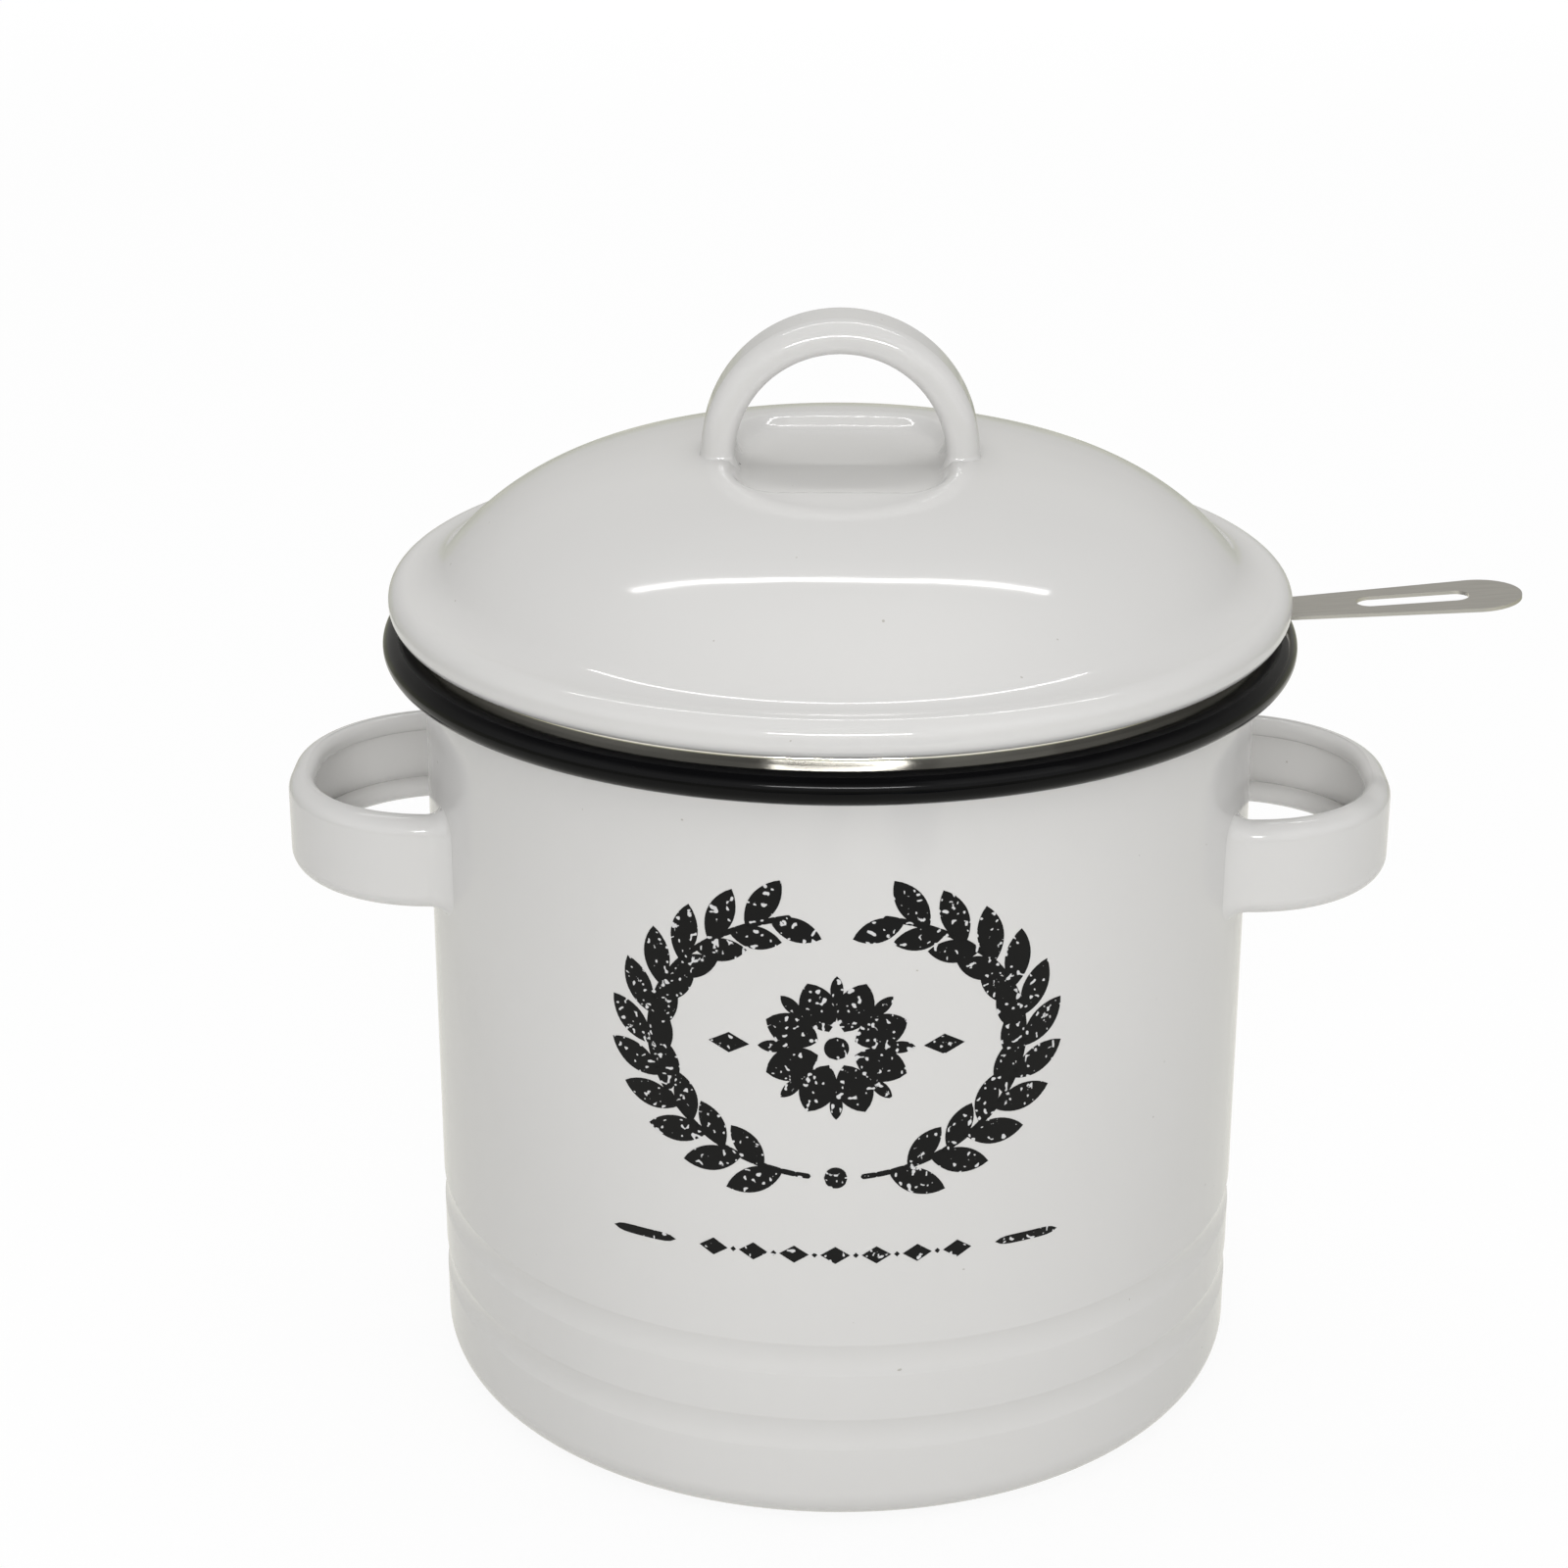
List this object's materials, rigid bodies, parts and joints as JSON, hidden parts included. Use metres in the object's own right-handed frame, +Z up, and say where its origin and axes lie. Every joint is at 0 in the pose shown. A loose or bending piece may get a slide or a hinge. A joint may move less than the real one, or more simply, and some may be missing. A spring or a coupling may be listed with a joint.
{
  "type": "enamelled draining pot",
  "caption": "Straight enamelled steel pot with a black rolled rim and ear handles, a drop-in stainless strainer with a flat handle, and a domed lid with a plug ring.",
  "frame": {"origin": "centre of the pot's flat foot, on the surface that it stands on", "axes": "+Z up along the pot's axis, +X towards the strainer's handle and along both ear handles, -Y towards the front"},
  "size_m": [0.2039, 0.15, 0.1818],
  "materials": {
    "white_enamel": "glossy vitreous enamel on steel",
    "black_enamel": "glossy black enamel on the rolled edges",
    "stainless_sheet": "polished stainless sheet",
    "brushed_strap": "satin stainless strip"
  },
  "bodies": {
    "pot": {"pot_body": "white_enamel", "rim_bead": "black_enamel", "left_handle": "white_enamel", "right_handle": "white_enamel"},
    "strainer": {"strainer_bowl": "stainless_sheet", "mesh_disc": "stainless_sheet", "mesh_ring": "stainless_sheet", "strainer_handle": "brushed_strap"},
    "lid": {"lid_shell": "white_enamel", "lid_skirt": "white_enamel", "lid_edge": "black_enamel", "lid_handle": "white_enamel"}
  },
  "joints": [
    {"name": "strainer_lift", "type": "slide", "parent": "pot", "child": "strainer", "axis": [0, 0, 1], "range_m": [0, 0.0223]},
    {"name": "lid_lift", "type": "slide", "parent": "strainer", "child": "lid", "axis": [0, 0, 1], "range_m": [0, 0.0185]}
  ]
}
